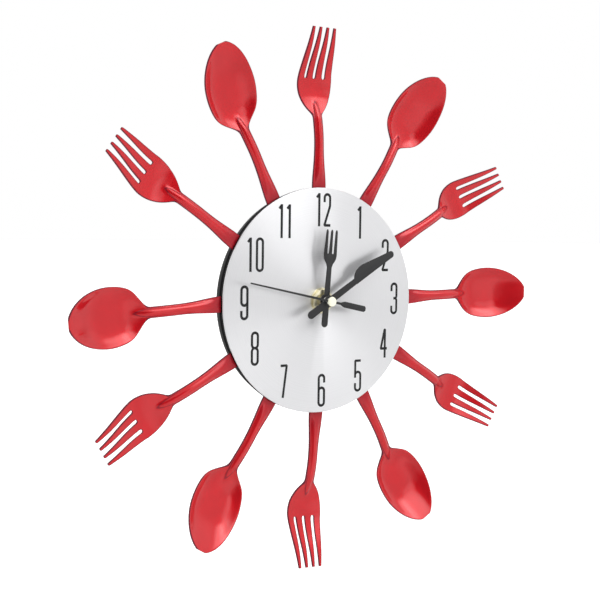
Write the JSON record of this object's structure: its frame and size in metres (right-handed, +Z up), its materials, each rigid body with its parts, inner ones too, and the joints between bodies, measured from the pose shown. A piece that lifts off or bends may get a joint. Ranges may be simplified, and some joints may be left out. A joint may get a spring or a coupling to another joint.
{
  "type": "wall clock",
  "caption": "Round wall clock with a spun metal dial, red forks and spoons standing out at the hours, fork and knife hands, and a battery quartz movement.",
  "frame": {"origin": "on the hands' axis, in the plane of the movement's back face, which is the plane of the wall", "axes": "-Y is the way the dial faces, +Y is towards the wall, +Z is up at the 12, +X is to the right at the 3"},
  "size_m": [0.3121, 0.0311, 0.3118],
  "materials": {
    "dial": "spun brushed, satin",
    "case_plastic": "moulded, satin",
    "red_metal": "glossy translucent red lacquer",
    "brass": "machined",
    "screw_steel": "plated",
    "gasket_rubber": "matt",
    "movement_plastic": "fine moulded grain",
    "wheel_plastic": "natural acetal",
    "hand_black": "satin black paint",
    "cap_plastic": "ivory",
    "magnet": "sintered",
    "knob_plastic": "moulded",
    "stator_steel": "annealed laminations",
    "copper": "enamelled wire",
    "board": "solder mask",
    "chip": "potting resin",
    "cell": "sleeved metal can"
  },
  "bodies": {
    "case": {"dial_plate": "dial", "front_shell": "case_plastic", "rear_shell": "case_plastic", "case_screws": "screw_steel", "fork_12": "red_metal", "spoon_01": "red_metal", "fork_02": "red_metal", "spoon_03": "red_metal", "fork_04": "red_metal", "spoon_05": "red_metal", "fork_06": "red_metal", "spoon_07": "red_metal", "fork_08": "red_metal", "spoon_09": "red_metal", "fork_10": "red_metal", "spoon_11": "red_metal", "neck_bush": "brass", "neck_washer": "brass", "neck_nut": "brass", "gasket": "gasket_rubber", "movement_tray": "movement_plastic", "movement_cover": "movement_plastic", "train_plate": "wheel_plastic", "plate_screws": "screw_steel", "stator": "stator_steel", "coil_bobbin": "wheel_plastic", "coil_winding": "copper", "circuit_board": "board", "clock_chip": "chip", "quartz_crystal": "screw_steel", "contact_positive": "screw_steel", "contact_negative": "screw_steel"},
    "hour": {"hour_wheel": "wheel_plastic", "hour_hand": "hand_black"},
    "minute": {"cannon_pinion": "wheel_plastic", "minute_hand": "hand_black"},
    "minute_gear": {"minute_wheel": "wheel_plastic"},
    "second": {"second_wheel": "wheel_plastic", "second_hand": "hand_black", "second_hand_collet": "brass", "second_hand_cap": "cap_plastic"},
    "third_gear": {"third_wheel": "wheel_plastic"},
    "intermediate_gear": {"intermediate_wheel": "wheel_plastic"},
    "rotor": {"rotor_pinion": "wheel_plastic", "rotor_magnet": "magnet"},
    "motion_gear": {"motion_wheel": "wheel_plastic"},
    "setting": {"setting_knob": "knob_plastic"},
    "cell": {"battery": "cell"}
  },
  "joints": [
    {"name": "minute_hand_turn", "type": "hinge", "parent": "case", "child": "minute", "pos_m": [0, 0, 0], "axis": [0, 1, 0], "continuous": true},
    {"name": "hour_hand_turn", "type": "hinge", "parent": "case", "child": "hour", "pos_m": [0, 0, 0], "axis": [0, 1, 0], "continuous": true},
    {"name": "motion_wheel_turn", "type": "hinge", "parent": "case", "child": "motion_gear", "pos_m": [-0.01182, 0, 0.00208], "axis": [0, 1, 0], "continuous": true},
    {"name": "setting_knob_turn", "type": "hinge", "parent": "case", "child": "setting", "pos_m": [-0.02101, 0, 0.0098], "axis": [0, 1, 0], "continuous": true},
    {"name": "second_hand_turn", "type": "hinge", "parent": "case", "child": "second", "pos_m": [0, 0, 0], "axis": [0, 1, 0], "continuous": true},
    {"name": "third_wheel_turn", "type": "hinge", "parent": "case", "child": "third_gear", "pos_m": [0.00942, 0, 0.00544], "axis": [0, 1, 0], "continuous": true},
    {"name": "minute_wheel_turn", "type": "hinge", "parent": "case", "child": "minute_gear", "pos_m": [0, 0, 0], "axis": [0, 1, 0], "continuous": true},
    {"name": "intermediate_wheel_turn", "type": "hinge", "parent": "case", "child": "intermediate_gear", "pos_m": [-0.0079, 0, 0.00456], "axis": [0, 1, 0], "continuous": true},
    {"name": "rotor_turn", "type": "hinge", "parent": "case", "child": "rotor", "pos_m": [-0.01096, 0, 0.01298], "axis": [0, 1, 0], "continuous": true},
    {"name": "battery_slide", "type": "slide", "parent": "case", "child": "cell", "axis": [0, 1, 0], "range_m": [0, 0.02]}
  ],
  "couplings": [
    {"joint": "motion_wheel_turn", "follows": "minute_hand_turn", "ratio": -0.33333},
    {"joint": "hour_hand_turn", "follows": "minute_hand_turn", "ratio": 0.083333},
    {"joint": "setting_knob_turn", "follows": "minute_hand_turn", "ratio": 1},
    {"joint": "third_wheel_turn", "follows": "second_hand_turn", "ratio": -0.13333},
    {"joint": "minute_wheel_turn", "follows": "second_hand_turn", "ratio": 0.016667},
    {"joint": "intermediate_wheel_turn", "follows": "second_hand_turn", "ratio": -5},
    {"joint": "rotor_turn", "follows": "second_hand_turn", "ratio": 30}
  ]
}
